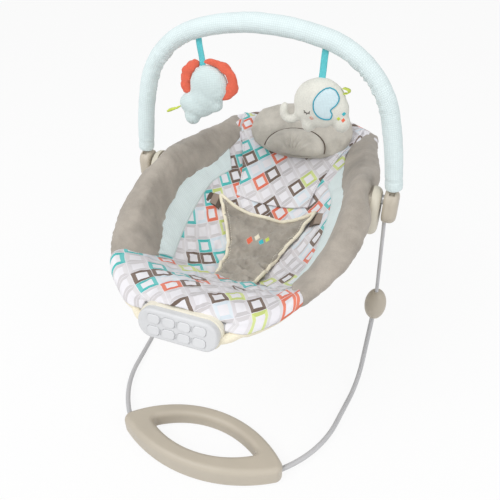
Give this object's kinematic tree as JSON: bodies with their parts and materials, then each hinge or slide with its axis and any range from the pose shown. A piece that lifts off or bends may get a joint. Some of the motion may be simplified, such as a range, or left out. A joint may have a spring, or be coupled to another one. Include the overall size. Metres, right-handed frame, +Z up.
{
  "type": "infant bouncer seat",
  "caption": "Infant bouncer seat: padded sling on a tube frame, spring-wire legs from a foot ring, control unit at the nose and a pivoting toy bar with hanging soft toys.",
  "frame": {"origin": "on the floor under the middle of the whole object", "axes": "+Z up, -Y towards the control unit and the baby's feet, +X to the right as seen from the front"},
  "size_m": [0.494, 0.6365, 0.6593],
  "materials": {
    "taupe_plastic": "satin moulded",
    "leg_metal": "light grey powder coat",
    "screw_steel": "zinc plated",
    "foot_rubber": "matte",
    "cream_plastic": "satin moulded",
    "hub_plastic": "moulded",
    "sleeve_fabric": "quilted fine grid",
    "border_plush": "short pile plush",
    "seat_print": "printed cotton",
    "harness_plush": "short pile plush",
    "strap_webbing": "woven webbing",
    "ribbon_teal": "satin ribbon",
    "elephant_plush": "fleece",
    "lion_plush": "checked cotton",
    "mane_felt": "felt",
    "face_plastic": "fine texture",
    "button_plastic": "satin moulded",
    "board_laminate": "solder mask",
    "motor_metal": "plated can",
    "cell_metal": "printed can"
  },
  "bodies": {
    "seat_and_frame": {"batteries": "cell_metal", "circuit_board": "board_laminate", "control_back": "face_plastic", "control_bezel": "cream_plastic", "control_face": "face_plastic", "edge_roll_back": "border_plush", "edge_roll_front_left": "border_plush", "edge_roll_front_right": "border_plush", "egg_front_left": "taupe_plastic", "egg_front_right": "taupe_plastic", "egg_rear_left": "taupe_plastic", "egg_rear_right": "taupe_plastic", "egg_screws": "screw_steel", "foot_pads": "foot_rubber", "foot_ring": "taupe_plastic", "foot_sole": "taupe_plastic", "harness_pad": "harness_plush", "head_pillow": "border_plush", "headrest": "border_plush", "hub_pins": "screw_steel", "hub_spacers": "screw_steel", "leg_left": "leg_metal", "leg_right": "leg_metal", "pod_inner_left": "taupe_plastic", "pod_inner_right": "taupe_plastic", "pod_outer_left": "taupe_plastic", "pod_outer_right": "taupe_plastic", "seat_hub_left": "hub_plastic", "seat_hub_right": "hub_plastic", "seat_sling": "seat_print", "seat_tube_back": "leg_metal", "seat_tube_front": "leg_metal", "side_cover_left": "cream_plastic", "side_cover_right": "cream_plastic", "sole_screws": "screw_steel", "speaker": "motor_metal", "upright_left": "leg_metal", "upright_right": "leg_metal", "vibration_motor": "motor_metal", "waist_buckles": "cream_plastic", "waist_straps": "strap_webbing"},
    "toy_bar": {"toy_bar_tube": "leg_metal", "toy_bar_sleeve": "sleeve_fabric", "bar_end_left": "hub_plastic", "bar_end_right": "hub_plastic"},
    "left_toy": {"ribbon_left": "ribbon_teal", "toy_lion": "lion_plush", "toy_mane": "mane_felt"},
    "right_toy": {"ribbon_right": "ribbon_teal", "toy_elephant": "elephant_plush"},
    "button_1": {"button_1": "button_plastic"},
    "button_2": {"button_2": "button_plastic"},
    "button_3": {"button_3": "button_plastic"},
    "button_4": {"button_4": "button_plastic"},
    "button_5": {"button_5": "button_plastic"},
    "button_6": {"button_6": "button_plastic"},
    "button_7": {"button_7": "button_plastic"},
    "button_8": {"button_8": "button_plastic"},
    "battery_door": {"battery_door": "face_plastic"},
    "motor_weight": {"motor_weight": "motor_metal"}
  },
  "joints": [
    {"name": "toy_bar_pivot", "type": "hinge", "parent": "seat_and_frame", "child": "toy_bar", "pos_m": [0, 0.026, 0.389], "axis": [1, 0, 0], "range_deg": [-45, 15]},
    {"name": "left_toy_swing", "type": "hinge", "parent": "toy_bar", "child": "left_toy", "pos_m": [-0.09711, 0.01498, 0.63162], "axis": [0.9641, -0.012, 0.2653], "range_deg": [-40, 40]},
    {"name": "right_toy_swing", "type": "hinge", "parent": "toy_bar", "child": "right_toy", "pos_m": [0.09711, 0.01498, 0.63162], "axis": [0.9641, 0.012, -0.2653], "range_deg": [-40, 40]},
    {"name": "button_1_press", "type": "slide", "parent": "seat_and_frame", "child": "button_1", "axis": [0, 0.9781, -0.2079], "range_m": [0, 0.0012], "stiffness_N_per_m": 300, "springref_m": -0.001},
    {"name": "button_2_press", "type": "slide", "parent": "seat_and_frame", "child": "button_2", "axis": [0, 0.9781, -0.2079], "range_m": [0, 0.0012], "stiffness_N_per_m": 300, "springref_m": -0.001},
    {"name": "button_3_press", "type": "slide", "parent": "seat_and_frame", "child": "button_3", "axis": [0, 0.9781, -0.2079], "range_m": [0, 0.0012], "stiffness_N_per_m": 300, "springref_m": -0.001},
    {"name": "button_4_press", "type": "slide", "parent": "seat_and_frame", "child": "button_4", "axis": [0, 0.9781, -0.2079], "range_m": [0, 0.0012], "stiffness_N_per_m": 300, "springref_m": -0.001},
    {"name": "button_5_press", "type": "slide", "parent": "seat_and_frame", "child": "button_5", "axis": [0, 0.9781, -0.2079], "range_m": [0, 0.0012], "stiffness_N_per_m": 300, "springref_m": -0.001},
    {"name": "button_6_press", "type": "slide", "parent": "seat_and_frame", "child": "button_6", "axis": [0, 0.9781, -0.2079], "range_m": [0, 0.0012], "stiffness_N_per_m": 300, "springref_m": -0.001},
    {"name": "button_7_press", "type": "slide", "parent": "seat_and_frame", "child": "button_7", "axis": [0, 0.9781, -0.2079], "range_m": [0, 0.0012], "stiffness_N_per_m": 300, "springref_m": -0.001},
    {"name": "button_8_press", "type": "slide", "parent": "seat_and_frame", "child": "button_8", "axis": [0, 0.9781, -0.2079], "range_m": [0, 0.0012], "stiffness_N_per_m": 300, "springref_m": -0.001},
    {"name": "battery_door_hinge", "type": "hinge", "parent": "seat_and_frame", "child": "battery_door", "pos_m": [0, -0.25757, 0.28104], "axis": [1, 0, 0], "range_deg": [0, 80]},
    {"name": "motor_weight_spin", "type": "hinge", "parent": "seat_and_frame", "child": "motor_weight", "pos_m": [0.038, -0.27094, 0.30279], "axis": [1, 0, 0], "continuous": true}
  ]
}
